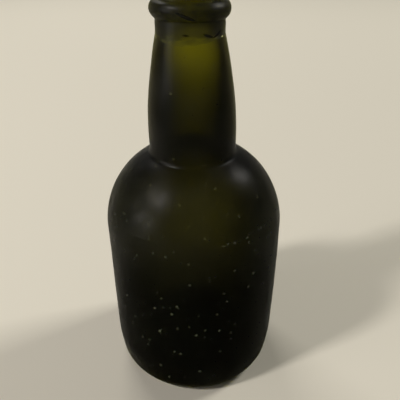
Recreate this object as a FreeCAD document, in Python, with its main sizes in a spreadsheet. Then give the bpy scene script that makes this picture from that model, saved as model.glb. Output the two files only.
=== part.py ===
import FreeCAD, Part
import math
import os
import Sketcher
from FreeCAD import Vector
from types import SimpleNamespace

# Squat antique ale bottle of very dark olive glass, with a laid-on ring under its mouth and a cork.
# Millimetres, +Z up. The origin is the middle of the ring that the bottle stands on.

SIZES = {
    # Body
    "body_radius": 41.0,          # outside of the straight wall
    "body_wall": 7.0,             # glass of the wall and the shoulder
    "heel_radius": 8.0,           # round from the standing ring to the wall
    "heel_inside_radius": 5.0,    # round inside the heel
    "rest_width": 2.2,            # flat of the standing ring
    "kick_height": 17.0,          # how far the base is pushed up
    "kick_round": 2.5,            # edge between the standing ring and the push-up
    "floor_thickness": 7.0,       # glass over the push-up
    # Shoulder
    "shoulder_height": 81.0,      # where the wall starts to round over
    "shoulder_radius": 38.5,      # dome of the shoulder
    "crease_radius": 2.5,         # hollow crease where the neck stands on the shoulder
    "crease_inside_radius": 8.0,  # round inside the crease
    # Neck
    "neck_radius": 19.0,          # outside of the neck at its foot
    "neck_inside_radius": 10.5,   # straight inside of the neck, so its glass is thickest at its foot
    "neck_foot_length": 3.4,      # upright stretch above the crease
    "neck_swell_radius": 198.0,   # long curve that draws the neck in
    # Mouth
    "bore_radius": 8.8,           # narrowest part of the mouth
    "bore_flare_length": 9.0,     # from the bore, which ends level with the smear, out to the neck's inside
    "mouth_wall": 3.9,            # glass round the bore
    "mouth_height": 18.0,         # from the lower edge of the smear to the rim
    "lip_round": 1.4,             # outer edge of the rim
    "mouth_round": 0.8,           # inner edge of the rim
    # Laid-on ring, and the smear of its glass below it
    "collar_wall": 1.05,          # smear, measured from the outside of the mouth
    "smear_thickness": 0.35,      # smear at its lower edge
    "neck_taper_height": 3.0,     # stretch of neck that narrows under the smear
    "ring_stand": 2.1,            # how far the ring stands out from the smear
    "ring_round": 3.65,           # round of the ring's section
    "ring_offset": 7.0,           # from the lower edge of the smear to the middle of the ring
    # Cork
    "cork_depth": 7.5,            # inside the mouth
    "cork_proud": 13.0,           # above the rim
    "cork_taper": 3.5,            # slope of its side and of its seat, in degrees
    "cork_clearance": 0.05,       # between the cork and its seat
    "cork_edge": 0.8,             # worn round edges
}

# How a sketch numbers the ends of a line or arc, and its own axes. Its origin is the level axis's start.
START, END, CENTRE = range(1, 4)
LEVEL_AXIS, UPRIGHT_AXIS = range(-1, -3, -1)
ORIGIN = LEVEL_AXIS

RIGHT_ANGLE = 90
FULL_TURN = 360


def make_sheet(doc):
    """Write every driving size into the sheet, each under its own name."""
    sheet = doc.addObject("Spreadsheet::Sheet", "sizes")
    for row, (name, value) in enumerate(SIZES.items(), start=1):
        sheet.set("A%d" % row, name)
        sheet.set("B%d" % row, str(value))
        sheet.setAlias("B%d" % row, name)
    doc.recompute()
    return sheet


def read_sizes(sheet):
    return SimpleNamespace(**{name: float(sheet.get(name)) for name in SIZES})


class Section:
    """The half section of a round piece: lines and arcs, end to end, beside the upright axis."""

    def __init__(self, body, name):
        self.body = body
        self.sketch = body.newObject("Sketcher::SketchObject", name)
        plane = next(item for item in body.Origin.OriginFeatures if item.Role == "XZ_Plane")
        self.sketch.AttachmentSupport = [(plane, "")]
        self.sketch.MapMode = "FlatFace"
        self.first = {}
        self.last = {}

    def line(self, start, end):
        index = self.sketch.addGeometry(Part.LineSegment(Vector(*start), Vector(*end)))
        self.first[index] = START
        self.last[index] = END
        return index

    def arc(self, centre, start, end, left_turn=True):
        """An arc from start to end, with its centre on the left or the right of the way along it."""
        begin, finish = (start, end) if left_turn else (end, start)
        circle = Part.Circle(Vector(*centre), Vector(0, 0, 1), math.dist(centre, start))
        from_angle = math.atan2(begin[1] - centre[1], begin[0] - centre[0])
        to_angle = math.atan2(finish[1] - centre[1], finish[0] - centre[0])
        if to_angle < from_angle:
            to_angle += 2 * math.pi
        index = self.sketch.addGeometry(Part.ArcOfCircle(circle, from_angle, to_angle))
        self.first[index] = START if left_turn else END
        self.last[index] = END if left_turn else START
        return index

    def guide_point(self, place):
        return self.sketch.addGeometry(Part.Point(Vector(*place)), True)

    def rule(self, kind, *where):
        return self.sketch.addConstraint(Sketcher.Constraint(kind, *where))

    def close(self, pieces, corners):
        """Join the pieces into a loop. Each pair meets without a corner, unless it is listed."""
        for index, after in zip(pieces, pieces[1:] + pieces[:1]):
            kind = "Coincident" if (index, after) in corners else "Tangent"
            self.rule(kind, index, self.last[index], after, self.first[after])

    def size(self, name, expression, kind, *where):
        """A named dimension that follows the sheet."""
        number = self.rule(kind, *where)
        self.sketch.renameConstraint(number, name)
        self.sketch.setExpression("Constraints." + name, expression)

    def radius(self, name, expression, index, value):
        self.size(name, expression, "Radius", index, value)

    def across(self, name, expression, index, end, value):
        self.size(name, expression, "DistanceX", ORIGIN, START, index, end, value)

    def height(self, name, expression, index, end, value):
        self.size(name, expression, "DistanceY", ORIGIN, START, index, end, value)

    def rise(self, name, expression, low, high, value):
        self.size(name, expression, "DistanceY", *low, *high, value)

    def measure_height(self, name, index, end, value):
        """A height that the section works out, for other pieces to follow."""
        number = self.rule("DistanceY", ORIGIN, START, index, end, value)
        self.sketch.setDriving(number, False)
        self.sketch.renameConstraint(number, name)

    def revolve(self, name):
        solid = self.body.newObject("PartDesign::Revolution", name)
        solid.Profile = self.sketch
        solid.ReferenceAxis = (self.sketch, ["V_Axis"])
        solid.Angle = FULL_TURN


def along(start, end, share):
    return tuple(a + (b - a) * share for a, b in zip(start, end))


def outside_places(s):
    """Points of the glass, as (radius, height), from the push-up under the base to the lip."""
    at = SimpleNamespace()
    at.rest_outer = (s.body_radius - s.heel_radius, 0)
    at.rest_inner = (at.rest_outer[0] - s.rest_width, 0)
    at.kick_radius = at.rest_inner[0] ** 2 + s.kick_height ** 2 - 2 * s.kick_round * s.kick_height
    at.kick_radius /= 2 * s.kick_height
    at.kick_top = (0, s.kick_height)
    at.kick_centre = (0, s.kick_height - at.kick_radius)
    at.edge_centre = (at.rest_inner[0], s.kick_round)
    at.kick_foot = along(at.kick_centre, at.edge_centre, at.kick_radius / (at.kick_radius + s.kick_round))
    at.heel_centre = (at.rest_outer[0], s.heel_radius)
    at.heel_top = (s.body_radius, s.heel_radius)
    at.wall_top = (s.body_radius, s.shoulder_height)
    at.dome_centre = (s.body_radius - s.shoulder_radius, s.shoulder_height)
    reach = s.shoulder_radius + s.crease_radius
    crease_rise = math.sqrt(reach ** 2 - (s.neck_radius + s.crease_radius - at.dome_centre[0]) ** 2)
    at.crease_centre = (s.neck_radius + s.crease_radius, s.shoulder_height + crease_rise)
    at.dome_end = along(at.dome_centre, at.crease_centre, s.shoulder_radius / reach)
    at.foot_base = (s.neck_radius, at.crease_centre[1])
    at.foot_top = (s.neck_radius, at.foot_base[1] + s.neck_foot_length)
    at.swell_centre = (s.neck_radius - s.neck_swell_radius, at.foot_top[1])
    mouth_radius = s.bore_radius + s.mouth_wall
    neck_end_radius = mouth_radius + s.collar_wall - s.smear_thickness
    neck_rise = math.sqrt(s.neck_swell_radius ** 2 - (neck_end_radius - at.swell_centre[0]) ** 2)
    at.neck_end = (neck_end_radius, at.foot_top[1] + neck_rise)
    at.taper_top = (mouth_radius, at.neck_end[1] + s.neck_taper_height)
    at.rim = at.neck_end[1] + s.mouth_height
    at.lip_centre = (mouth_radius - s.lip_round, at.rim - s.lip_round)
    at.lip_base = (mouth_radius, at.lip_centre[1])
    at.lip_top = (at.lip_centre[0], at.rim)
    return at


def inside_places(s, at):
    """Points of the inside, from the mouth down to the floor, worked out from those outside."""
    slope = math.radians(s.cork_taper)
    at.seat_base = (s.bore_radius, at.rim - s.cork_depth)
    seat_length = at.rim - s.mouth_round + s.mouth_round * math.sin(slope) - at.seat_base[1]
    seat_length /= math.cos(slope)
    seat_radius = s.bore_radius + seat_length * math.sin(slope)
    at.seat_top = (seat_radius, at.seat_base[1] + seat_length * math.cos(slope))
    at.flare_centre = (seat_radius + s.mouth_round * math.cos(slope), at.rim - s.mouth_round)
    at.flare_top = (at.flare_centre[0], at.rim)
    at.bore_base = (s.bore_radius, at.neck_end[1])
    at.inner_neck_top = (s.neck_inside_radius, at.neck_end[1] - s.bore_flare_length)
    dome_inside = s.shoulder_radius - s.body_wall
    reach = dome_inside + s.crease_inside_radius
    crease_radius = s.neck_inside_radius + s.crease_inside_radius
    inner_crease_height = at.dome_centre[1] + math.sqrt(reach ** 2 - (crease_radius - at.dome_centre[0]) ** 2)
    at.inner_crease_centre = (crease_radius, inner_crease_height)
    at.inner_neck_base = (s.neck_inside_radius, inner_crease_height)
    at.inner_dome_end = along(at.dome_centre, at.inner_crease_centre, dome_inside / reach)
    wall_inside = s.body_radius - s.body_wall
    at.inner_wall_top = (wall_inside, at.dome_centre[1])
    floor_radius = at.kick_radius + s.floor_thickness
    heel_reach = floor_radius + s.heel_inside_radius
    heel_radius = wall_inside - s.heel_inside_radius
    heel_height = at.kick_centre[1] + math.sqrt(heel_reach ** 2 - heel_radius ** 2)
    at.inner_heel_centre = (heel_radius, heel_height)
    at.inner_wall_base = (wall_inside, heel_height)
    at.floor_edge = along(at.kick_centre, at.inner_heel_centre, floor_radius / heel_reach)
    at.floor_top = (0, s.kick_height + s.floor_thickness)
    return at


def draw_glass(section, at):
    """The closed section of the glass: up the outside, over the rim and down the inside."""
    part = SimpleNamespace()
    part.push_up = section.arc(at.kick_centre, at.kick_top, at.kick_foot, left_turn=False)
    part.push_up_edge = section.arc(at.edge_centre, at.kick_foot, at.rest_inner)
    part.rest = section.line(at.rest_inner, at.rest_outer)
    part.heel = section.arc(at.heel_centre, at.rest_outer, at.heel_top)
    part.wall = section.line(at.heel_top, at.wall_top)
    part.shoulder = section.arc(at.dome_centre, at.wall_top, at.dome_end)
    part.crease = section.arc(at.crease_centre, at.dome_end, at.foot_base, left_turn=False)
    part.foot = section.line(at.foot_base, at.foot_top)
    part.neck = section.arc(at.swell_centre, at.foot_top, at.neck_end)
    part.taper = section.line(at.neck_end, at.taper_top)
    part.mouth = section.line(at.taper_top, at.lip_base)
    part.lip = section.arc(at.lip_centre, at.lip_base, at.lip_top)
    part.rim = section.line(at.lip_top, at.flare_top)
    part.mouth_edge = section.arc(at.flare_centre, at.flare_top, at.seat_top)
    part.seat = section.line(at.seat_top, at.seat_base)
    part.bore = section.line(at.seat_base, at.bore_base)
    part.bore_flare = section.line(at.bore_base, at.inner_neck_top)
    part.inner_neck = section.line(at.inner_neck_top, at.inner_neck_base)
    part.inner_crease = section.arc(at.inner_crease_centre, at.inner_neck_base, at.inner_dome_end)
    part.inner_dome = section.arc(at.dome_centre, at.inner_dome_end, at.inner_wall_top, left_turn=False)
    part.inner_wall = section.line(at.inner_wall_top, at.inner_wall_base)
    part.inner_heel = section.arc(at.inner_heel_centre, at.inner_wall_base, at.floor_edge, left_turn=False)
    part.floor = section.arc(at.kick_centre, at.floor_edge, at.floor_top)
    part.axis = section.line(at.floor_top, at.kick_top)

    corners = {
        (part.neck, part.taper),
        (part.taper, part.mouth),
        (part.seat, part.bore),
        (part.bore, part.bore_flare),
        (part.bore_flare, part.inner_neck),
        (part.floor, part.axis),
        (part.axis, part.push_up),
    }
    section.close(list(vars(part).values()), corners)
    for upright in (part.wall, part.foot, part.mouth, part.bore, part.inner_neck, part.inner_wall):
        section.rule("Vertical", upright)
    section.rule("Horizontal", part.rim)
    for end in (START, END):
        section.rule("PointOnObject", part.rest, end, LEVEL_AXIS)
        section.rule("PointOnObject", part.axis, end, UPRIGHT_AXIS)
    section.rule("PointOnObject", part.push_up, CENTRE, UPRIGHT_AXIS)
    section.rule("Coincident", part.floor, CENTRE, part.push_up, CENTRE)
    section.rule("Coincident", part.inner_dome, CENTRE, part.shoulder, CENTRE)
    section.rule("Horizontal", part.bore, END, part.taper, START)
    return part


def size_outside(section, part, at, s):
    section.height("kick_height", "sizes.kick_height", part.axis, END, s.kick_height)
    section.radius("kick_round", "sizes.kick_round", part.push_up_edge, s.kick_round)
    section.size("rest_width", "sizes.rest_width", "DistanceX",
                 part.rest, START, part.rest, END, s.rest_width)
    section.radius("heel_radius", "sizes.heel_radius", part.heel, s.heel_radius)
    section.across("body_radius", "sizes.body_radius", part.wall, END, s.body_radius)
    section.height("shoulder_height", "sizes.shoulder_height", part.wall, END, s.shoulder_height)
    section.radius("shoulder_radius", "sizes.shoulder_radius", part.shoulder, s.shoulder_radius)
    section.radius("crease_radius", "sizes.crease_radius", part.crease, s.crease_radius)
    section.across("neck_radius", "sizes.neck_radius", part.foot, END, s.neck_radius)
    section.rise("neck_foot_length", "sizes.neck_foot_length",
                 (part.foot, START), (part.foot, END), s.neck_foot_length)
    section.radius("neck_swell_radius", "sizes.neck_swell_radius", part.neck, s.neck_swell_radius)
    section.across("neck_end_radius",
                   "sizes.bore_radius + sizes.mouth_wall + sizes.collar_wall - sizes.smear_thickness",
                   part.taper, START, at.neck_end[0])
    section.across("mouth_radius", "sizes.bore_radius + sizes.mouth_wall",
                   part.taper, END, at.taper_top[0])
    section.rise("neck_taper_height", "sizes.neck_taper_height",
                 (part.taper, START), (part.taper, END), s.neck_taper_height)
    section.rise("mouth_height", "sizes.mouth_height",
                 (part.taper, START), (part.rim, START), s.mouth_height)
    section.radius("lip_round", "sizes.lip_round", part.lip, s.lip_round)


def size_inside(section, part, at, s):
    section.radius("mouth_round", "sizes.mouth_round", part.mouth_edge, s.mouth_round)
    section.size("seat_slope", "-(%d + sizes.cork_taper) * 1 deg" % RIGHT_ANGLE, "Angle",
                 part.seat, -math.radians(RIGHT_ANGLE + s.cork_taper))
    section.rise("cork_depth", "sizes.cork_depth", (part.seat, END), (part.rim, END), s.cork_depth)
    section.across("bore_radius", "sizes.bore_radius", part.bore, START, s.bore_radius)
    section.rise("bore_flare_length", "sizes.bore_flare_length",
                 (part.bore_flare, END), (part.bore_flare, START), s.bore_flare_length)
    section.across("neck_inside_radius", "sizes.neck_inside_radius",
                   part.inner_neck, START, s.neck_inside_radius)
    section.radius("crease_inside_radius", "sizes.crease_inside_radius",
                   part.inner_crease, s.crease_inside_radius)
    section.across("body_inside_radius", "sizes.body_radius - sizes.body_wall",
                   part.inner_wall, START, at.inner_wall_top[0])
    section.radius("heel_inside_radius", "sizes.heel_inside_radius", part.inner_heel, s.heel_inside_radius)
    section.rise("floor_thickness", "sizes.floor_thickness",
                 (part.axis, END), (part.axis, START), s.floor_thickness)


def make_bottle_body(doc, s):
    """The blown glass: base, wall, shoulder, neck and mouth in one piece."""
    body = doc.addObject("PartDesign::Body", "bottle_body")
    section = Section(body, "glass_section")
    at = inside_places(s, outside_places(s))
    part = draw_glass(section, at)
    size_outside(section, part, at, s)
    size_inside(section, part, at, s)
    section.measure_height("smear_height", part.taper, START, at.neck_end[1])
    section.measure_height("rim_height", part.rim, START, at.rim)
    section.revolve("blown_glass")
    doc.recompute()
    return body, section.sketch


def make_string_rim(doc, s, glass):
    """The trail of glass wound round the neck: a bulging ring over a thin smear, fused to the neck."""
    body = doc.addObject("PartDesign::Body", "string_rim")
    section = Section(body, "ring_section")
    smear_height = glass.getDatum("smear_height").Value
    mouth_radius = s.bore_radius + s.mouth_wall
    collar_radius = mouth_radius + s.collar_wall
    ring_centre = (collar_radius + s.ring_stand - s.ring_round, smear_height + s.ring_offset)
    lower_rise = math.sqrt(s.ring_round ** 2 - (collar_radius - ring_centre[0]) ** 2)
    upper_rise = math.sqrt(s.ring_round ** 2 - (mouth_radius - ring_centre[0]) ** 2)
    smear_inner = (collar_radius - s.smear_thickness, smear_height)
    smear_outer = (collar_radius, smear_height)
    ring_base = (collar_radius, ring_centre[1] - lower_rise)
    ring_top = (mouth_radius, ring_centre[1] + upper_rise)
    taper_top = (mouth_radius, smear_height + s.neck_taper_height)

    smear_edge = section.line(smear_inner, smear_outer)
    collar = section.line(smear_outer, ring_base)
    ring = section.arc(ring_centre, ring_base, ring_top)
    neck_side = section.line(ring_top, taper_top)
    neck_taper = section.line(taper_top, smear_inner)
    pieces = [smear_edge, collar, ring, neck_side, neck_taper]
    section.close(pieces, corners=set(zip(pieces, pieces[1:] + pieces[:1])))
    section.rule("Horizontal", smear_edge)
    section.rule("Vertical", collar)
    section.rule("Vertical", neck_side)

    collar_size = "sizes.bore_radius + sizes.mouth_wall + sizes.collar_wall"
    section.height("smear_height", "glass_section.Constraints.smear_height", smear_edge, START, smear_height)
    section.across("neck_end_radius", collar_size + " - sizes.smear_thickness",
                   smear_edge, START, smear_inner[0])
    section.across("collar_radius", collar_size, collar, START, collar_radius)
    section.across("ring_centre_radius", collar_size + " + sizes.ring_stand - sizes.ring_round",
                   ring, CENTRE, ring_centre[0])
    section.rise("ring_offset", "sizes.ring_offset", (smear_edge, START), (ring, CENTRE), s.ring_offset)
    section.radius("ring_round", "sizes.ring_round", ring, s.ring_round)
    section.across("mouth_radius", "sizes.bore_radius + sizes.mouth_wall", neck_side, END, mouth_radius)
    section.rise("neck_taper_height", "sizes.neck_taper_height",
                 (neck_taper, END), (neck_taper, START), s.neck_taper_height)
    section.revolve("laid_on_ring")
    return body


def make_cork_stopper(doc, s, glass):
    """A short tapered cork whose slope is that of its seat in the mouth."""
    body = doc.addObject("PartDesign::Body", "cork_stopper")
    section = Section(body, "cork_section")
    rim_height = glass.getDatum("rim_height").Value
    base = rim_height - s.cork_depth
    top = rim_height + s.cork_proud
    base_radius = s.bore_radius - s.cork_clearance
    slope = math.radians(s.cork_taper)

    def side_place(distance):
        return (base_radius + distance * math.sin(slope), base + distance * math.cos(slope))

    side_base = side_place(s.cork_edge * (1 - math.sin(slope)) / math.cos(slope))
    side_top = side_place((top - base - s.cork_edge * (1 + math.sin(slope))) / math.cos(slope))
    inset = s.cork_edge * math.cos(slope)
    base_centre = (side_base[0] - inset, base + s.cork_edge)
    top_centre = (side_top[0] - inset, top - s.cork_edge)

    base_face = section.line((0, base), (base_centre[0], base))
    base_edge = section.arc(base_centre, (base_centre[0], base), side_base)
    side = section.line(side_base, side_top)
    top_edge = section.arc(top_centre, side_top, (top_centre[0], top))
    top_face = section.line((top_centre[0], top), (0, top))
    axis = section.line((0, top), (0, base))
    section.close([base_face, base_edge, side, top_edge, top_face, axis],
                  corners={(top_face, axis), (axis, base_face)})
    section.rule("Horizontal", base_face)
    section.rule("Horizontal", top_face)
    for end in (START, END):
        section.rule("PointOnObject", axis, end, UPRIGHT_AXIS)
    corner = section.guide_point((base_radius, base))
    section.rule("PointOnObject", corner, START, side)
    section.rule("PointOnObject", corner, START, base_face)

    rim_size = "glass_section.Constraints.rim_height"
    section.height("base_height", rim_size + " - sizes.cork_depth * 1 mm", axis, END, base)
    section.height("top_height", rim_size + " + sizes.cork_proud * 1 mm", axis, START, top)
    section.across("base_radius", "sizes.bore_radius - sizes.cork_clearance", corner, START, base_radius)
    section.size("side_slope", "(%d - sizes.cork_taper) * 1 deg" % RIGHT_ANGLE, "Angle",
                 side, math.radians(RIGHT_ANGLE - s.cork_taper))
    section.radius("base_edge", "sizes.cork_edge", base_edge, s.cork_edge)
    section.radius("top_edge", "sizes.cork_edge", top_edge, s.cork_edge)
    section.revolve("cork")
    return body


def check(doc, bodies):
    """Stop before anything is written if an object failed or a piece is not one sound solid."""
    for item in doc.Objects:
        if "Invalid" in item.State or "Error" in item.State:
            raise RuntimeError("%s did not build: %s" % (item.Label, item.State))
    for body in bodies:
        if body.Shape.isNull() or not body.Shape.isValid() or len(body.Shape.Solids) != 1:
            raise RuntimeError("%s is not one sound solid" % body.Label)


def main():
    doc = FreeCAD.newDocument("antique_bottle")
    sizes = read_sizes(make_sheet(doc))
    bottle_body, glass = make_bottle_body(doc, sizes)
    bodies = [bottle_body, make_string_rim(doc, sizes, glass), make_cork_stopper(doc, sizes, glass)]
    for body in bodies:
        body.Placement = FreeCAD.Placement()
    doc.recompute()
    check(doc, bodies)
    os.makedirs("parts", exist_ok=True)
    for body in bodies:
        body.Shape.exportStep("parts/%s.step" % body.Label)
        print(body.Label, "volume", round(body.Shape.Volume, 1))


main()
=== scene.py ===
import math

import bmesh
import bpy
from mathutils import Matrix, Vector, noise


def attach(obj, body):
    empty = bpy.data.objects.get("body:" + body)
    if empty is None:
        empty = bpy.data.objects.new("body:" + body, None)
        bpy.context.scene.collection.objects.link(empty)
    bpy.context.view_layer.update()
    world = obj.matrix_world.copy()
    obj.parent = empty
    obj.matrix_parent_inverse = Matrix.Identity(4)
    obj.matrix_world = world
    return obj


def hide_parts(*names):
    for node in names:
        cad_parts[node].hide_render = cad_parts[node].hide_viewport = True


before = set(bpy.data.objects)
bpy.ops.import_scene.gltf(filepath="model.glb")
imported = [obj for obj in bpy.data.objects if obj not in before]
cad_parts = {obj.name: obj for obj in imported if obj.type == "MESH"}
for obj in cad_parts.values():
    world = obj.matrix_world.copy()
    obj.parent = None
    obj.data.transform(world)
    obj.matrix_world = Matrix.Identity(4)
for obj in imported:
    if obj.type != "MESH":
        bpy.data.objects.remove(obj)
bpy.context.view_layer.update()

# Squat antique ale bottle of very dark olive glass, with a laid-on ring under its mouth and a short cork.
# Metres, +Z up. The camera looks along +Y, so the front of the bottle is at -90 degrees round its axis.

MM = 0.001

# Body
BODY_RADIUS = 41.0 * MM
BODY_WALL = 7.0 * MM
HEEL_RADIUS = 8.0 * MM
HEEL_INSIDE_RADIUS = 5.0 * MM
REST_WIDTH = 2.2 * MM
KICK_HEIGHT = 17.0 * MM
KICK_ROUND = 2.5 * MM
FLOOR_THICKNESS = 7.0 * MM

# Shoulder
SHOULDER_HEIGHT = 81.0 * MM
SHOULDER_RADIUS = 38.5 * MM
CREASE_RADIUS = 2.5 * MM
CREASE_INSIDE_RADIUS = 8.0 * MM
SEAM_HEIGHT = 91.0 * MM
SEAM_ZONE = 1.5 * MM

# Neck and mouth
NECK_RADIUS = 19.0 * MM
NECK_INSIDE = 10.5 * MM
BORE_FLARE_LENGTH = 9.0 * MM
NECK_FOOT_LENGTH = 3.4 * MM
NECK_SWELL_RADIUS = 198.0 * MM
BORE_RADIUS = 8.8 * MM
MOUTH_WALL = 3.9 * MM
MOUTH_RADIUS = BORE_RADIUS + MOUTH_WALL
MOUTH_HEIGHT = 18.0 * MM
LIP_ROUND = 1.4 * MM
MOUTH_ROUND = 0.8 * MM
CORK_SLOPE = math.radians(3.5)

# Laid-on ring
COLLAR_WALL = 1.05 * MM
SMEAR_THICKNESS = 0.35 * MM
NECK_TAPER_HEIGHT = 3.0 * MM
RING_STAND = 2.1 * MM
RING_ROUND = 3.65 * MM
RING_OFFSET = 7.0 * MM
FUSED_GAP = 0.03 * MM

# Cork
CORK_DEPTH = 7.5 * MM
CORK_PROUD = 13.0 * MM
CORK_CLEARANCE = 0.05 * MM
CORK_EDGE = 0.8 * MM

# Steps round the axis
GLASS_STEPS = 192
RING_STEPS = 432
CORK_STEPS = 160


def along(start, end, share):
    return tuple(a + (b - a) * share for a, b in zip(start, end))


def smooth_rise(value, low, high):
    share = min(max((value - low) / (high - low), 0.0), 1.0)
    return share * share * (3 - 2 * share)


def smooth_fall(value, low, high):
    return 1 - smooth_rise(value, low, high)


def hump(distance, width):
    return math.exp(-(distance / width) ** 2)


def angle_between(angle, other):
    return (angle - other + math.pi) % (2 * math.pi) - math.pi


class Section:
    """A half section drawn by a pen beside the upright axis, then turned into a closed piece."""

    def __init__(self, start):
        self.mesh = bmesh.new()
        self.pen = self.mesh.verts.new((start[0], 0, start[1]))

    def straight(self, end, steps=1):
        start = self.pen.co.copy()
        goal = Vector((end[0], 0, end[1]))
        for step in range(1, steps + 1):
            self.pen = bmesh.ops.extrude_vert_indiv(self.mesh, verts=[self.pen])["verts"][0]
            self.pen.co = start.lerp(goal, step / steps)

    def round(self, centre, end, steps):
        """The short way round a centre to an end."""
        middle = Vector((centre[0], 0, centre[1]))
        here = self.pen.co - middle
        there = Vector((end[0], 0, end[1])) - middle
        turn = angle_between(math.atan2(here.z, here.x), math.atan2(there.z, there.x))
        made = bmesh.ops.spin(self.mesh, geom=[self.pen], cent=middle, axis=(0, 1, 0), angle=turn,
                              steps=steps)
        self.pen = made["geom_last"][0]

    def turn(self, steps):
        mesh = self.mesh
        outline = mesh.verts[:] + mesh.edges[:]
        bmesh.ops.spin(mesh, geom=outline, cent=(0, 0, 0), axis=(0, 0, 1), angle=2 * math.pi, steps=steps,
                       use_merge=True)
        bmesh.ops.remove_doubles(mesh, verts=mesh.verts, dist=0.001 * MM)
        bmesh.ops.recalc_face_normals(mesh, faces=mesh.faces)
        if mesh.calc_volume(signed=True) < 0:
            bmesh.ops.reverse_faces(mesh, faces=mesh.faces)
        mesh.normal_update()
        return mesh


def finish_piece(name, mesh, material, body, slot, *nodes):
    for face in mesh.faces:
        face.smooth = True
    data = bpy.data.meshes.new(name)
    mesh.to_mesh(data)
    mesh.free()
    data.materials.append(material)
    piece = bpy.data.objects.new(name, data)
    bpy.context.scene.collection.objects.link(piece)
    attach(piece, body)
    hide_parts(*nodes)


# Places of the section, as (radius, height)

REST_OUTER = (BODY_RADIUS - HEEL_RADIUS, 0.0)
REST_INNER = (REST_OUTER[0] - REST_WIDTH, 0.0)
KICK_RADIUS = (REST_INNER[0] ** 2 + KICK_HEIGHT ** 2 - 2 * KICK_ROUND * KICK_HEIGHT) / (2 * KICK_HEIGHT)
KICK_TOP = (0.0, KICK_HEIGHT)
KICK_CENTRE = (0.0, KICK_HEIGHT - KICK_RADIUS)
KICK_EDGE = (REST_INNER[0], KICK_ROUND)
KICK_FOOT = along(KICK_CENTRE, KICK_EDGE, KICK_RADIUS / (KICK_RADIUS + KICK_ROUND))
HEEL_CENTRE = (REST_OUTER[0], HEEL_RADIUS)
HEEL_TOP = (BODY_RADIUS, HEEL_RADIUS)
WALL_TOP = (BODY_RADIUS, SHOULDER_HEIGHT)
DOME_CENTRE = (BODY_RADIUS - SHOULDER_RADIUS, SHOULDER_HEIGHT)


def dome_place(height):
    rise = height - DOME_CENTRE[1]
    return (DOME_CENTRE[0] + math.sqrt(SHOULDER_RADIUS ** 2 - rise ** 2), height)


CREASE_RADIAL = NECK_RADIUS + CREASE_RADIUS
CREASE_REACH = SHOULDER_RADIUS + CREASE_RADIUS
CREASE_RISE = math.sqrt(CREASE_REACH ** 2 - (CREASE_RADIAL - DOME_CENTRE[0]) ** 2)
CREASE_CENTRE = (CREASE_RADIAL, SHOULDER_HEIGHT + CREASE_RISE)
DOME_END = along(DOME_CENTRE, CREASE_CENTRE, SHOULDER_RADIUS / CREASE_REACH)
FOOT_BASE = (NECK_RADIUS, CREASE_CENTRE[1])
FOOT_TOP = (NECK_RADIUS, FOOT_BASE[1] + NECK_FOOT_LENGTH)
SWELL_CENTRE = (NECK_RADIUS - NECK_SWELL_RADIUS, FOOT_TOP[1])
COLLAR_RADIUS = MOUTH_RADIUS + COLLAR_WALL
NECK_END_RADIUS = COLLAR_RADIUS - SMEAR_THICKNESS
SMEAR_HEIGHT = FOOT_TOP[1] + math.sqrt(NECK_SWELL_RADIUS ** 2 - (NECK_END_RADIUS - SWELL_CENTRE[0]) ** 2)
NECK_END = (NECK_END_RADIUS, SMEAR_HEIGHT)
TAPER_TOP = (MOUTH_RADIUS, SMEAR_HEIGHT + NECK_TAPER_HEIGHT)
RIM = SMEAR_HEIGHT + MOUTH_HEIGHT
LIP_CENTRE = (MOUTH_RADIUS - LIP_ROUND, RIM - LIP_ROUND)
LIP_BASE = (MOUTH_RADIUS, LIP_CENTRE[1])
LIP_TOP = (LIP_CENTRE[0], RIM)

SEAT_BASE = (BORE_RADIUS, RIM - CORK_DEPTH)
SEAT_LENGTH = (CORK_DEPTH - MOUTH_ROUND * (1 - math.sin(CORK_SLOPE))) / math.cos(CORK_SLOPE)
SEAT_TOP = (BORE_RADIUS + SEAT_LENGTH * math.sin(CORK_SLOPE),
            SEAT_BASE[1] + SEAT_LENGTH * math.cos(CORK_SLOPE))
FLARE_CENTRE = (SEAT_TOP[0] + MOUTH_ROUND * math.cos(CORK_SLOPE), RIM - MOUTH_ROUND)
FLARE_TOP = (FLARE_CENTRE[0], RIM)
BORE_BASE = (BORE_RADIUS, SMEAR_HEIGHT)
INNER_NECK_TOP = (NECK_INSIDE, SMEAR_HEIGHT - BORE_FLARE_LENGTH)
DOME_INSIDE = SHOULDER_RADIUS - BODY_WALL
INNER_REACH = DOME_INSIDE + CREASE_INSIDE_RADIUS
INNER_CREASE_RADIAL = NECK_INSIDE + CREASE_INSIDE_RADIUS
INNER_CREASE_RISE = math.sqrt(INNER_REACH ** 2 - (INNER_CREASE_RADIAL - DOME_CENTRE[0]) ** 2)
INNER_CREASE_CENTRE = (INNER_CREASE_RADIAL, DOME_CENTRE[1] + INNER_CREASE_RISE)
INNER_NECK_BASE = (NECK_INSIDE, INNER_CREASE_CENTRE[1])
INNER_DOME_END = along(DOME_CENTRE, INNER_CREASE_CENTRE, DOME_INSIDE / INNER_REACH)
WALL_INSIDE = BODY_RADIUS - BODY_WALL
INNER_WALL_TOP = (WALL_INSIDE, DOME_CENTRE[1])
FLOOR_RADIUS = KICK_RADIUS + FLOOR_THICKNESS
INNER_HEEL_RADIAL = WALL_INSIDE - HEEL_INSIDE_RADIUS
INNER_HEEL_REACH = FLOOR_RADIUS + HEEL_INSIDE_RADIUS
INNER_HEEL_RISE = math.sqrt(INNER_HEEL_REACH ** 2 - INNER_HEEL_RADIAL ** 2)
INNER_HEEL_CENTRE = (INNER_HEEL_RADIAL, KICK_CENTRE[1] + INNER_HEEL_RISE)
INNER_WALL_BASE = (WALL_INSIDE, INNER_HEEL_CENTRE[1])
FLOOR_EDGE = along(KICK_CENTRE, INNER_HEEL_CENTRE, FLOOR_RADIUS / INNER_HEEL_REACH)
FLOOR_TOP = (0.0, KICK_HEIGHT + FLOOR_THICKNESS)

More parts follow.
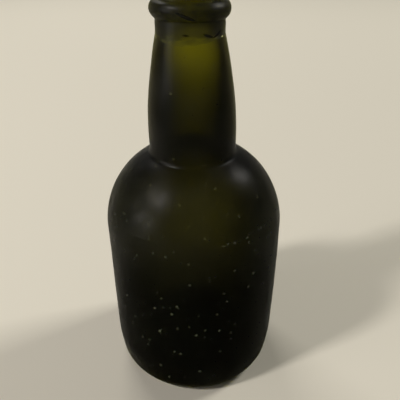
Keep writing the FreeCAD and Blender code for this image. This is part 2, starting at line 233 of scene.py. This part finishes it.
RING_CENTRE = (COLLAR_RADIUS + RING_STAND - RING_ROUND, SMEAR_HEIGHT + RING_OFFSET)
RING_BASE_RISE = math.sqrt(RING_ROUND ** 2 - (COLLAR_RADIUS - RING_CENTRE[0]) ** 2)
RING_TOP_RISE = math.sqrt(RING_ROUND ** 2 - (MOUTH_RADIUS - RING_CENTRE[0]) ** 2)
RING_BASE = (COLLAR_RADIUS, RING_CENTRE[1] - RING_BASE_RISE)
RING_TOP = (MOUTH_RADIUS, RING_CENTRE[1] + RING_TOP_RISE)


def neck_radius_at(height):
    if height < FOOT_TOP[1]:
        return NECK_RADIUS
    if height < SMEAR_HEIGHT:
        return SWELL_CENTRE[0] + math.sqrt(NECK_SWELL_RADIUS ** 2 - (height - FOOT_TOP[1]) ** 2)
    share = min((height - SMEAR_HEIGHT) / NECK_TAPER_HEIGHT, 1.0)
    return NECK_END_RADIUS + (MOUTH_RADIUS - NECK_END_RADIUS) * share


# Hand-made unevenness. Waves have a depth, a length and a place in the noise.

LEAN = Vector((-0.8 * MM, 0.0, 0.0))
LEAN_HEIGHTS = (90.0 * MM, 175.0 * MM)

SWELL_WAVES = (0.22 * MM, 34 * MM, 3.1)
MARK_WAVES = (0.07 * MM, 7 * MM, 7.7)
BULGE = 0.6 * MM
BULGE_HEIGHT = 52 * MM
BULGE_REACH = 26 * MM
BULGE_TURN = math.radians(-12)
BULGE_SPREAD = 0.7
FULL_NECK = 0.25 * MM
FULL_NECK_HEIGHT = 136 * MM
FULL_NECK_REACH = 13 * MM
SEAM_STAND = 0.06 * MM
SEAM_WIDTH = 0.6 * MM
SEAM_KEPT = 0.25
SEAM_BREAKS = (0.9, 11 * MM, 1.3)

INSIDE_WAVES = (0.45 * MM, 26 * MM, 11.9)
THICK_FOOT = 2.8 * MM
THICK_FOOT_HEIGHTS = (15 * MM, 50 * MM)
THICK_BODY = 0.8 * MM
THICK_BODY_HEIGHTS = (96 * MM, 114 * MM)
THIN_NECK = 0.9 * MM
THIN_NECK_HEIGHT = 149 * MM
THIN_NECK_REACH = 15 * MM
BORE_SHIFT = 0.7 * MM
BORE_SHIFT_HEIGHT = 146 * MM
BORE_SHIFT_REACH = 18 * MM

HEEL_WEAR = 1.3 * MM
HEEL_WEAR_DEEPEST = 3 * MM
HEEL_WEAR_END = 20 * MM


def lean(place):
    """The neck stands a little off the middle of the body."""
    return LEAN * smooth_rise(place.z, *LEAN_HEIGHTS)


def waves(place, depth, length, seed):
    return depth * noise.noise(place / length + Vector((seed, seed, seed)))


def outer_unevenness(place, angle):
    ripples = waves(place, *SWELL_WAVES) + waves(place, *MARK_WAVES)
    around = hump(angle_between(angle, BULGE_TURN), BULGE_SPREAD)
    bulge = BULGE * hump(place.z - BULGE_HEIGHT, BULGE_REACH) * around
    full_neck = FULL_NECK * hump(place.z - FULL_NECK_HEIGHT, FULL_NECK_REACH)
    seam_left = max(SEAM_KEPT + waves(place, *SEAM_BREAKS), 0.0)
    seam = SEAM_STAND * seam_left * hump(place.z - SEAM_HEIGHT, SEAM_WIDTH)
    return ripples + bulge + full_neck + seam


def inner_unevenness(place):
    """The glass is uneven inside too: thick towards the foot and thin in the upper neck."""
    thick_foot = THICK_FOOT * smooth_fall(place.z, *THICK_FOOT_HEIGHTS)
    thick_body = THICK_BODY * smooth_fall(place.z, *THICK_BODY_HEIGHTS)
    thin_neck = THIN_NECK * hump(place.z - THIN_NECK_HEIGHT, THIN_NECK_REACH)
    return waves(place, *INSIDE_WAVES) + thick_foot + thick_body - thin_neck


def bore_shift(place):
    """The hollow of the neck lies a little to the right of its middle."""
    return Vector((BORE_SHIFT * hump(place.z - BORE_SHIFT_HEIGHT, BORE_SHIFT_REACH), 0.0, 0.0))


def worn_heel(place):
    """The heel is rounder than a plain arc: how much is gone from it at a place."""
    above_rest = smooth_rise(place.z, 0.0, HEEL_WEAR_DEEPEST)
    return HEEL_WEAR * above_rest * smooth_fall(place.z, HEEL_WEAR_DEEPEST, HEEL_WEAR_END)


# Chips and bruises on the outside: degrees round the axis, height, width and depth in millimetres

CHIPS = [
    (-165, 94.8, 1.6, 0.45),
    (-72.6, 90.3, 1.2, 0.35),
    (-131, 102, 1.8, 0.18),
    (-120, 98, 1.3, 0.16),
    (-60, 22, 1.4, 0.3),
    (38, 61, 1.8, 0.3),
    (112, 30, 1.5, 0.35),
    (160, 77, 1.2, 0.3),
    (75, 96, 1.6, 0.25),
]


def chips(place, angle, radius):
    depth = 0.0
    for turn, height, width, deep in CHIPS:
        across = angle_between(angle, math.radians(turn)) * radius
        away = math.hypot(across, place.z - height * MM)
        depth += deep * MM * hump(away, width * MM)
    return depth


# Under the ring and the cork the glass is even, so that they sit close to it.
EVEN_UNDER_RING = (SMEAR_HEIGHT - 14 * MM, SMEAR_HEIGHT - 6 * MM)
EVEN_UNDER_CORK = (SMEAR_HEIGHT - 4 * MM, SMEAR_HEIGHT + 4 * MM)
FACING = 0.05
FACING_FULLY = 0.6


def bottle_body_mesh():
    section = Section(KICK_TOP)
    section.round(KICK_CENTRE, KICK_FOOT, 18)
    section.round(KICK_EDGE, REST_INNER, 5)
    section.straight(REST_OUTER)
    section.round(HEEL_CENTRE, HEEL_TOP, 9)
    section.straight(WALL_TOP, 52)
    section.round(DOME_CENTRE, dome_place(SEAM_HEIGHT - SEAM_ZONE), 6)
    section.round(DOME_CENTRE, dome_place(SEAM_HEIGHT + SEAM_ZONE), 10)
    section.round(DOME_CENTRE, DOME_END, 26)
    section.round(CREASE_CENTRE, FOOT_BASE, 6)
    section.straight(FOOT_TOP, 3)
    section.round(SWELL_CENTRE, NECK_END, 38)
    section.straight(TAPER_TOP, 3)
    section.straight(LIP_BASE, 10)
    section.round(LIP_CENTRE, LIP_TOP, 5)
    section.straight(FLARE_TOP)
    section.round(FLARE_CENTRE, SEAT_TOP, 4)
    section.straight(SEAT_BASE, 5)
    section.straight(BORE_BASE, 6)
    section.straight(INNER_NECK_TOP, 5)
    section.straight(INNER_NECK_BASE, 18)
    section.round(INNER_CREASE_CENTRE, INNER_DOME_END, 8)
    section.round(DOME_CENTRE, INNER_WALL_TOP, 20)
    section.straight(INNER_WALL_BASE, 28)
    section.round(INNER_HEEL_CENTRE, FLOOR_EDGE, 6)
    section.round(KICK_CENTRE, FLOOR_TOP, 16)
    mesh = section.turn(GLASS_STEPS)

    moves = []
    for vert in mesh.verts:
        place = vert.co
        radius = math.hypot(place.x, place.y)
        angle = math.atan2(place.y, place.x)
        outward = (vert.normal.x * place.x + vert.normal.y * place.y) / max(radius, MM)
        above_kick = math.hypot(radius, place.z - KICK_CENTRE[1]) > KICK_RADIUS + FLOOR_THICKNESS / 2
        move = lean(place)
        if outward > FACING:
            free = smooth_fall(place.z, *EVEN_UNDER_RING) * smooth_rise(place.z, 0.0, HEEL_RADIUS)
            uneven = outer_unevenness(place, angle) - chips(place, angle, radius)
            if not above_kick or radius > WALL_INSIDE:
                move = move - vert.normal * worn_heel(place)
            move = move + vert.normal * uneven * free
        elif outward < -FACING and above_kick:
            free = smooth_fall(place.z, *EVEN_UNDER_CORK) * smooth_rise(-outward, FACING, FACING_FULLY)
            move = move + (vert.normal * inner_unevenness(place) + bore_shift(place)) * free
        moves.append(move)
    for vert, move in zip(mesh.verts, moves):
        vert.co += move
    return mesh


# The lower edge of the smear: degrees round the axis, and how many millimetres below the plain edge it hangs
SMEAR_HANG = [(-180, 1.6), (-150, 2.8), (-115, 4.2), (-92, 4.6), (-70, 3.6), (-40, 2.6), (-15, 1.8),
              (30, 1.0), (80, 2.2), (120, 3.0), (150, 1.4), (180, 1.6)]
SMEAR_FEATHER = 0.75
SMEAR_EDGE = 0.07 * MM


def smear_hang(angle):
    degrees = math.degrees(angle)
    for (low, before), (high, after) in zip(SMEAR_HANG, SMEAR_HANG[1:]):
        if low <= degrees <= high:
            return MM * (before + (after - before) * smooth_rise(degrees, low, high))
    return 0.0


# Creases of the trail, each from one place to another: degrees round the axis and height in millimetres, then
# width and depth. The first is the lap, where the end of the trail goes over its start, and the last is a lap
# at the back. The second is a mark of the tool, and the third and fourth are painted shade under the fold,
# cut in as shallow grooves. All of them are darkened with painted shade according to their depth.
CREASES = [
    ((-107, 174.6), (-81, 172.2), 0.5, 0.5),
    ((-105, 167.0), (-86, 166.7), 0.4, 0.2),
    ((-72, 167.4), (-50, 165.6), 0.5, 0.3),
    ((-54, 165.4), (-34, 167.8), 0.5, 0.3),
    ((62, 173.8), (88, 172.0), 0.5, 0.4),
]
CREASE_SPREAD = 0.62
# Crease depth in millimetres at which its painted shade is full
CREASE_FULLY_SHADED = 0.5


def creases(angle, height):
    """How deep the creases are at a place, and how dark their painted shade is, from 0 to 1."""
    depth = 0.0
    shade = 0.0
    for (start, start_height), (end, end_height), width, deep in CREASES:
        share = math.degrees(angle_between(angle, math.radians(start))) / (end - start)
        line = (start_height + (end_height - start_height) * share) * MM
        groove = hump((share - 0.5) / CREASE_SPREAD, 1.0) ** 2 * hump(height - line, width * MM)
        depth += deep * MM * groove
        shade = max(shade, groove * min(deep / CREASE_FULLY_SHADED, 1.0))
    return depth, shade


FOLD = 0.55 * MM
FOLD_TURN = math.radians(-48)
FOLD_SPREAD = 0.42
FOLD_HEIGHT = 168.2 * MM
FOLD_DIP = 1.5 * MM
FOLD_BEND = 2.2
FOLD_WIDTH = 1.1 * MM


def fold(angle, height):
    """The thick fold of glass that hangs under the ring on the right."""
    turn = angle_between(angle, FOLD_TURN)
    line = FOLD_HEIGHT - FOLD_DIP * math.cos(turn * FOLD_BEND)
    return FOLD * hump(turn, FOLD_SPREAD) * hump(height - line, FOLD_WIDTH)


TRAIL_WAVES = (0.16 * MM, 9 * MM, 5.5)
TRAIL_SWELL = (0.2 * MM, 21 * MM, 2.2)
TRAIL_UNEVEN_FROM = (0.1 * MM, 1.2 * MM)
TRAIL_SAG = 0.35 * MM
TRAIL_SAG_TURN = 0.6
TRAIL_SAG_FROM = (1.0 * MM, 2.6 * MM)


def string_rim_mesh():
    smear_inner = (NECK_END[0] + FUSED_GAP, NECK_END[1])
    smear_outer = (COLLAR_RADIUS, NECK_END[1])
    ring_top_inner = (RING_TOP[0] + FUSED_GAP, RING_TOP[1])
    taper_top = (TAPER_TOP[0] + FUSED_GAP, TAPER_TOP[1])
    section = Section(smear_inner)
    section.straight(smear_outer, 2)
    section.straight(RING_BASE, 24)
    section.round(RING_CENTRE, RING_TOP, 60)
    section.straight(ring_top_inner)
    section.straight(taper_top, 6)
    section.straight(smear_inner, 4)
    mesh = section.turn(RING_STEPS)

    crease_shade = mesh.verts.layers.float.new("crease_shade")
    moves = []
    for vert in mesh.verts:
        place = vert.co
        radius = math.hypot(place.x, place.y)
        angle = math.atan2(place.y, place.x)
        outward = Vector((place.x / radius, place.y / radius, 0))
        height = place.z
        below = smooth_fall(height, SMEAR_HEIGHT, RING_BASE[1])
        drop = smear_hang(angle) * below
        over = radius - neck_radius_at(height)
        is_inner = over < 2 * FUSED_GAP
        move = Vector((0, 0, -drop))
        if is_inner:
            move += outward * (neck_radius_at(height - drop) - neck_radius_at(height))
        else:
            feather = 1 - SMEAR_FEATHER * below ** 2
            new_radius = neck_radius_at(height - drop) + max(over * feather, SMEAR_EDGE)
            move += outward * (new_radius - radius)
            uneven = waves(place, *TRAIL_WAVES) + waves(place, *TRAIL_SWELL)
            uneven *= smooth_rise(over, *TRAIL_UNEVEN_FROM)
            sag = TRAIL_SAG * math.sin(angle * 2 + TRAIL_SAG_TURN) * smooth_rise(over, *TRAIL_SAG_FROM)
            # Painted shade for the creases, kept on the vertices
            crease, vert[crease_shade] = creases(angle, height - drop)
            move += vert.normal * (uneven - crease) + outward * fold(angle, height - drop)
            move.z += sag
        moves.append(move + lean(place))
    for vert, move in zip(mesh.verts, moves):
        vert.co += move
    return mesh


CORK_CRUMBLE = (0.12 * MM, 3.0 * MM, 4.4)
CORK_ROUGH_ABOVE = 1.5 * MM
PIT_ACROSS = 2.2 * MM
PIT_ALONG = 1.2 * MM
PIT_DEPTH = 0.5 * MM
PIT_NOISE = (0.28, 0.62)


def cork_mesh():
    base = RIM - CORK_DEPTH
    top = RIM + CORK_PROUD
    base_radius = BORE_RADIUS - CORK_CLEARANCE

    def side_place(distance):
        return (base_radius + distance * math.sin(CORK_SLOPE), base + distance * math.cos(CORK_SLOPE))

    side_base = side_place(CORK_EDGE * (1 - math.sin(CORK_SLOPE)) / math.cos(CORK_SLOPE))
    side_top = side_place((top - base - CORK_EDGE * (1 + math.sin(CORK_SLOPE))) / math.cos(CORK_SLOPE))
    inset = CORK_EDGE * math.cos(CORK_SLOPE)
    base_centre = (side_base[0] - inset, base + CORK_EDGE)
    top_centre = (side_top[0] - inset, top - CORK_EDGE)
    section = Section((0.0, base))
    section.straight((base_centre[0], base), 14)
    section.round(base_centre, side_base, 4)
    section.straight(side_top, 42)
    section.round(top_centre, (top_centre[0], top), 5)
    section.straight((0.0, top), 20)
    mesh = section.turn(CORK_STEPS)

    moves = []
    for vert in mesh.verts:
        place = vert.co
        exposed = smooth_rise(place.z, RIM, RIM + CORK_ROUGH_ABOVE)
        grain = Vector((place.x / PIT_ACROSS, place.y / PIT_ACROSS, place.z / PIT_ALONG))
        pits = smooth_rise(noise.noise(grain), *PIT_NOISE)
        move = vert.normal * (waves(place, *CORK_CRUMBLE) - PIT_DEPTH * pits) * exposed
        moves.append(move + lean(place))
    for vert, move in zip(mesh.verts, moves):
        vert.co += move
    return mesh


# Finishes

SPECK_TURN = (0.7, 0.4, 1.1)
SPECK_STIR_SIZE = 0.8
SPECK_STIR_REACH = 1.5
SPECK_SOLID_SHARE = 0.15


class Finish:
    """A material's nodes, each made and linked in one call."""

    def __init__(self, name):
        self.material = bpy.data.materials.new(name)
        self.material.use_nodes = True
        self.nodes = self.material.node_tree.nodes
        self.links = self.material.node_tree.links
        self.shader = self.nodes["Principled BSDF"]
        self.output = self.nodes["Material Output"]
        self.place = self.nodes.new("ShaderNodeTexCoord").outputs["Object"]

    def set(self, node, values):
        for key, value in values.items():
            socket = node.inputs[key]
            if isinstance(value, bpy.types.NodeSocket):
                self.links.new(value, socket)
            else:
                socket.default_value = value

    def node(self, kind, values, **settings):
        made = self.nodes.new("ShaderNode" + kind)
        for key, value in settings.items():
            setattr(made, key, value)
        self.set(made, values)
        return made

    def math(self, operation, first, second=0.0, clamp=False):
        return self.node("Math", {0: first, 1: second}, operation=operation, use_clamp=clamp).outputs[0]

    def product(self, first, *others):
        for other in others:
            first = self.math("MULTIPLY", first, other)
        return first

    def noise(self, size, detail, place=None):
        values = {"Vector": place or self.place, "Scale": 1 / size, "Detail": detail}
        return self.node("TexNoise", values).outputs["Fac"]

    def ragged(self, size, reach):
        """Places moved about a little, so that round shapes drawn with them come out ragged."""
        stir = self.node("TexNoise", {"Vector": self.place, "Scale": 1 / size}).outputs["Color"]
        values = {0: stir, 1: (0.5, 0.5, 0.5)}
        stir = self.node("VectorMath", values, operation="SUBTRACT").outputs[0]
        values = {0: stir, 1: (reach, reach, reach), 2: self.place}
        return self.node("VectorMath", values, operation="MULTIPLY_ADD").outputs[0]

    def stretched(self, upright):
        """Places pressed together along the axis, so that noise drawn with them lies flat round it."""
        return self.node("Mapping", {"Vector": self.place, "Scale": (1.0, 1.0, upright)}).outputs[0]

    def attribute(self, name):
        return self.node("Attribute", {}, attribute_name=name).outputs["Fac"]

    def rise(self, value, low, high, to_low=0.0, to_high=1.0):
        values = {"Value": value, "From Min": low, "From Max": high, "To Min": to_low, "To Max": to_high}
        return self.node("MapRange", values, interpolation_type="SMOOTHSTEP").outputs["Result"]

    def blend(self, share, first, second):
        made = self.node("Mix", {}, data_type="RGBA")
        self.set(made, {0: share, 6: first, 7: second})
        return made.outputs[2]

    def specks(self, cell, size, kept):
        """Small ragged flecks, about one per few cells, some bright and some faint."""
        place = self.ragged(SPECK_STIR_SIZE * size, SPECK_STIR_REACH * size)
        place = self.node("Mapping", {"Vector": place, "Rotation": SPECK_TURN}).outputs[0]
        cells = self.node("TexVoronoi", {"Vector": place, "Scale": 1 / cell})
        red = self.node("SeparateColor", {0: cells.outputs["Color"]}).outputs[0]
        near = self.rise(cells.outputs["Distance"], size / cell, SPECK_SOLID_SHARE * size / cell)
        return self.product(near, self.rise(red, 1 - kept, 1.0))

    def axes(self):
        return self.node("SeparateXYZ", {0: self.place}).outputs

    def bump(self, height, distance):
        return self.node("Bump", {"Height": height, "Distance": distance, "Strength": 1.0}).outputs["Normal"]


# The part of the noise's range that most of it lies in
NOISE_SPAN = (0.3, 0.7)

# Glass. The base bends light little and the coat carries the shine, which leaves dark edges.
GLASS_IOR = 1.045
GLASS_CLEAR = (1.0, 1.0, 0.4, 1.0)
OLIVE = (0.585, 0.575, 0.03, 1.0)
BODY_DENSITY = 600.0
RING_DENSITY = 760.0
BODY_ROUGHNESS = (0.28, 0.38)
RING_ROUGHNESS = (0.34, 0.5)
COAT_ROUGHNESS = 0.36
SHINE_HEIGHTS = (60 * MM, 100 * MM)
SHINE = (0.035, 0.17)
DULL_SIDE = (2 * MM, 18 * MM)
DULL_SHARE = 0.55
WORN_NOISE = (0.34, 0.66)
WORN = (0.7, 1.2)
GLASS_RELIEF = 0.04 * MM
PITTING_SHARE = 0.15

# Flecks have a cell, a size and a share of cells kept. Their colour turns before the glass turns opaque.
FLECK = (0.15, 0.15, 0.115, 1.0)
LARGE_FLECKS = (4.2 * MM, 0.75 * MM, 0.75)
FINE_FLECKS = (2.6 * MM, 0.45 * MM, 0.5)
FINE_FLECK_SHARE = 0.5
RING_FLECK_SHARE = 0.6
FLECKED_HEIGHTS = (82 * MM, 104 * MM)
FLECKS_ABOVE = 0.15
FLECK_COLOUR_SPAN = (0.02, 0.15)

# The worn seam line
SCUFF_SHARE = 0.7
SCUFF_SIDE = (12 * MM, 38 * MM)
SCUFF_HEIGHTS = (90.3 * MM, 92.0 * MM)
SCUFF_STRAY = 0.7 * MM
SCUFF_BAND = (0.9 * MM, 0.3 * MM)
SCUFF_BREAKS = (0.54, 0.66)
SCUFF_FRONT = (-10 * MM, -15 * MM)
SCUFF_RIGHT = (8 * MM, 13 * MM)

# Haze of dust, by height
HAZE = 0.006
HAZE_CLOUDS = (0.6 * HAZE, 1.4 * HAZE)
HAZE_SETTLED = (58 * MM, 104 * MM, 0.06, 1.0)
HAZE_RUBBED = (106 * MM, 113 * MM, 1.0, 0.18)
HAZE_UPPER = (126 * MM, 150 * MM, 1.0, 1.8)

# The smear of the trail: its streaks, the painted shade under and on the lower part of the ring, and the
# painted shade in its creases
SMEAR_STREAK_AND_SHADE_TINT = (0.42, 0.42, 0.32, 1.0)
SMEAR_STRETCH = 3.5
SMEAR_STREAKS = (0.35, 0.65, 0.0, 0.5)
# Heights over which the painted shade under the ring fades in from below, and then fades out on the ring's
# top
RING_SHADE_FADE_BELOW = (163 * MM, 168 * MM)
RING_SHADE_FADE_ABOVE = (170.5 * MM, 172.5 * MM, 1.0, 0.15)
# Painted shade: the dark colour laid into the creases
CREASE_SHADE = (0.012, 0.011, 0.006, 1.0)
CREASE_SHADE_SPAN = (0.3, 0.75)
CREASE_SHADE_COLOUR_SPAN = (0.1, 0.3)


def seam_scuff(finish):
    """The worn, dotted line along the seam, at the right of the front. It climbs towards the side."""
    x, y, z = finish.axes()
    line = finish.rise(x, *SCUFF_SIDE, *SCUFF_HEIGHTS)
    stray = finish.rise(finish.noise(3.0 * MM, 2.0), *NOISE_SPAN, -SCUFF_STRAY, SCUFF_STRAY)
    away = finish.math("ABSOLUTE", finish.math("SUBTRACT", finish.math("ADD", z, stray), line))
    band = finish.rise(away, *SCUFF_BAND)
    broken = finish.rise(finish.noise(1.1 * MM, 3.0), *SCUFF_BREAKS)
    front = finish.rise(y, *SCUFF_FRONT)
    right = finish.rise(x, *SCUFF_RIGHT)
    return finish.product(band, broken, front, right)


def dust_haze(finish):
    """A thin olive haze, densest on the shoulder and the upper neck and nearly gone near the foot."""
    height = finish.axes()[2]
    settled = finish.rise(height, *HAZE_SETTLED)
    rubbed = finish.rise(height, *HAZE_RUBBED)
    upper = finish.rise(height, *HAZE_UPPER)
    cloudy = finish.rise(finish.noise(9 * MM, 3.0), *NOISE_SPAN, *HAZE_CLOUDS)
    return finish.product(cloudy, settled, rubbed, upper)


def glass_finish(name, density):
    """Weathered glass: flecked, lightly rippled and satin. Returns its nodes and its share of flecks."""
    finish = Finish(name)
    axes = finish.axes()
    side = axes[0]
    height = axes[2]
    large = finish.specks(*LARGE_FLECKS)
    fine = finish.product(finish.specks(*FINE_FLECKS), FINE_FLECK_SHARE)
    lower = finish.rise(height, *FLECKED_HEIGHTS, 1.0, FLECKS_ABOVE)
    flecks = finish.product(finish.math("MAXIMUM", large, fine), lower)
    pitting = finish.product(finish.noise(0.9 * MM, 3.0), PITTING_SHARE)
    relief = finish.math("ADD", pitting, finish.noise(4.5 * MM, 2.0))
    shine = finish.rise(height, *SHINE_HEIGHTS, *SHINE)
    duller = finish.rise(side, *DULL_SIDE, 1.0, DULL_SHARE)
    worn = finish.rise(finish.noise(11 * MM, 3.0), *WORN_NOISE, *WORN)
    finish.set(finish.shader, {
        "IOR": GLASS_IOR,
        "Coat Weight": finish.product(shine, duller, worn),
        "Coat Roughness": COAT_ROUGHNESS,
        "Normal": finish.bump(relief, GLASS_RELIEF),
    })
    absorption = finish.node("VolumeAbsorption", {"Color": OLIVE, "Density": density})
    finish.links.new(absorption.outputs["Volume"], finish.output.inputs["Volume"])
    return finish, flecks


def body_glass():
    finish, flecks = glass_finish("olive_glass", BODY_DENSITY)
    flecks = finish.math("MAXIMUM", flecks, finish.product(seam_scuff(finish), SCUFF_SHARE))
    opaque = finish.math("MAXIMUM", flecks, dust_haze(finish))
    finish.set(finish.shader, {
        "Base Color": finish.blend(finish.rise(flecks, *FLECK_COLOUR_SPAN), GLASS_CLEAR, FLECK),
        "Transmission Weight": finish.math("SUBTRACT", 1.0, opaque),
        "Roughness": finish.rise(finish.noise(14 * MM, 4.0), *NOISE_SPAN, *BODY_ROUGHNESS),
    })
    return finish.material


def ring_glass():
    """The trail's glass has streaks from its tool. Painted shade darkens it under and on the lower part of
    the ring, and fills its creases.
    """
    finish, flecks = glass_finish("ring_glass", RING_DENSITY)
    height = finish.axes()[2]
    streaks = finish.rise(finish.noise(4.0 * MM, 3.0, finish.stretched(SMEAR_STRETCH)), *SMEAR_STREAKS)
    # Painted shade: the trail is darker from the collar up to the middle of the ring, and lighter on its top
    ring_shade = finish.product(finish.rise(height, *RING_SHADE_FADE_BELOW), finish.rise(height, *RING_SHADE_FADE_ABOVE))
    tint = finish.math("ADD", streaks, ring_shade, clamp=True)
    colour = finish.blend(tint, GLASS_CLEAR, SMEAR_STREAK_AND_SHADE_TINT)
    flecks = finish.product(flecks, RING_FLECK_SHARE)
    # Painted shade in the creases, darkest where they are deepest, also stops light passing through the glass
    shade = finish.attribute("crease_shade")
    crease_shade = finish.rise(shade, *CREASE_SHADE_SPAN)
    opaque = finish.math("MAXIMUM", flecks, finish.math("MAXIMUM", crease_shade, HAZE))
    colour = finish.blend(finish.rise(flecks, *FLECK_COLOUR_SPAN), colour, FLECK)
    finish.set(finish.shader, {
        "Base Color": finish.blend(finish.rise(shade, *CREASE_SHADE_COLOUR_SPAN), colour, CREASE_SHADE),
        "Transmission Weight": finish.math("SUBTRACT", 1.0, opaque),
        "Roughness": finish.rise(finish.noise(6 * MM, 3.0), *NOISE_SPAN, *RING_ROUGHNESS),
    })
    return finish.material


CORK_LIGHT = (0.52, 0.34, 0.19, 1.0)
CORK_DARK = (0.26, 0.145, 0.07, 1.0)
CORK_PIT = (0.085, 0.042, 0.02, 1.0)
CORK_STRETCH = 2.2
CORK_GRAIN_SPAN = (0.35, 0.68)
CORK_PIT_SPAN = (0.56, 0.68)
CORK_ROUGHNESS = (0.75, 0.95)
CORK_RELIEF = 0.25 * MM


def cork_finish():
    finish = Finish("cork")
    grain = finish.noise(3.5 * MM, 6.0)
    pits = finish.rise(finish.noise(1.7 * MM, 3.0, finish.stretched(CORK_STRETCH)), *CORK_PIT_SPAN)
    colour = finish.blend(finish.rise(grain, *CORK_GRAIN_SPAN), CORK_DARK, CORK_LIGHT)
    finish.set(finish.shader, {
        "Base Color": finish.blend(pits, colour, CORK_PIT),
        "Roughness": finish.rise(grain, *NOISE_SPAN, *CORK_ROUGHNESS),
        "Normal": finish.bump(finish.math("SUBTRACT", grain, pits), CORK_RELIEF),
    })
    return finish.material


def make_object():
    finish_piece("blown_bottle", bottle_body_mesh(), body_glass(), "bottle", "olive_glass", "bottle_body")
    finish_piece("laid_on_ring", string_rim_mesh(), ring_glass(), "bottle", "ring_glass", "string_rim")
    finish_piece("pitted_cork", cork_mesh(), cork_finish(), "cork", "cork", "cork_stopper")


# Ground, light and camera

GROUND_COLOUR = (0.74, 0.71, 0.60, 1.0)
GROUND_RADIUS = 2.0
GROUND_STEPS = 128
GROUND_ROUGHNESS = 0.9
GROUND_GLOSS = 0.1


def make_floor():
    mesh = bmesh.new()
    bmesh.ops.create_circle(mesh, cap_ends=True, segments=GROUND_STEPS, radius=GROUND_RADIUS)
    data = bpy.data.meshes.new("floor")
    mesh.to_mesh(data)
    mesh.free()
    floor = bpy.data.objects.new("floor", data)
    bpy.context.scene.collection.objects.link(floor)
    finish = Finish("pale_floor")
    finish.set(finish.shader, {
        "Base Color": GROUND_COLOUR,
        "Roughness": GROUND_ROUGHNESS,
        "Specular IOR Level": GROUND_GLOSS,
    })
    data.materials.append(finish.material)


# Lamps: turn and tilt in degrees, distance, width and height in metres, power in watts, colour
LAMPS = {
    "left_lamp": (-119, 43, 1.5, 0.14, 0.26, 10.5, (1.0, 0.95, 0.93)),
    "low_left_lamp": (-112, 10, 4.0, 1.7, 1.1, 38.0, (1.0, 0.96, 0.93)),
    "far_right_lamp": (66, 38, 4.0, 0.9, 1.0, 76.0, (1.0, 0.97, 0.92)),
    "far_lamp": (-24, 40, 2.4, 1.2, 0.7, 20.0, (1.0, 0.96, 0.93)),
}
LAMP_AIM = Vector((0.0, 0.0, 90 * MM))


def make_lamp(name, turn, tilt, distance, width, height, power, colour):
    """A soft lamp at a turn from the far side towards the right and a tilt above the floor, in degrees."""
    lamp = bpy.data.lights.new(name, "AREA")
    lamp.shape = "RECTANGLE"
    lamp.size = width
    lamp.size_y = height
    lamp.energy = power
    lamp.color = colour
    holder = bpy.data.objects.new(name, lamp)
    turn = math.radians(turn)
    tilt = math.radians(tilt)
    way = Vector((math.sin(turn) * math.cos(tilt), math.cos(turn) * math.cos(tilt), math.sin(tilt)))
    holder.location = LAMP_AIM + way * distance
    holder.rotation_euler = way.to_track_quat("Z", "Y").to_euler()
    bpy.context.scene.collection.objects.link(holder)


def make_light():
    for name, lamp in LAMPS.items():
        make_lamp(name, *lamp)


ROOM_COLOUR = (1.0, 0.97, 0.88, 1.0)
ROOM_LIGHT = 0.03
ROOM_SEEN = 0.45


def make_room():
    """A plain pale room: dim as a light, and paler where it is seen, mirrored or seen through the glass."""
    world = bpy.data.worlds.new("room")
    world.use_nodes = True
    nodes = world.node_tree.nodes
    links = world.node_tree.links
    path = nodes.new("ShaderNodeLightPath")
    seen = path.outputs["Is Camera Ray"]
    for way in ("Is Glossy Ray", "Is Transmission Ray"):
        either = nodes.new("ShaderNodeMath")
        either.operation = "MAXIMUM"
        links.new(seen, either.inputs[0])
        links.new(path.outputs[way], either.inputs[1])
        seen = either.outputs[0]
    strength = nodes.new("ShaderNodeMapRange")
    strength.inputs["To Min"].default_value = ROOM_LIGHT
    strength.inputs["To Max"].default_value = ROOM_SEEN
    links.new(seen, strength.inputs["Value"])
    links.new(strength.outputs["Result"], nodes["Background"].inputs["Strength"])
    nodes["Background"].inputs["Color"].default_value = ROOM_COLOUR
    bpy.context.scene.world = world


CAMERA_PLACE = (3.02 * MM, -186.85 * MM, 199.1 * MM)
CAMERA_TILT = math.radians(59.6)
CAMERA_LENS = 40.95
CAMERA_SENSOR = 36.0
CAMERA_NEAREST = 0.01


def make_camera():
    view = bpy.data.cameras.new("camera")
    view.sensor_width = CAMERA_SENSOR
    view.lens = CAMERA_LENS
    view.clip_start = CAMERA_NEAREST
    camera = bpy.data.objects.new("camera", view)
    camera.location = CAMERA_PLACE
    camera.rotation_euler = (CAMERA_TILT, 0.0, 0.0)
    bpy.context.scene.collection.objects.link(camera)
    bpy.context.scene.camera = camera


make_object()
make_floor()
make_light()
make_room()
make_camera()
bpy.context.scene.view_settings.view_transform = "Standard"
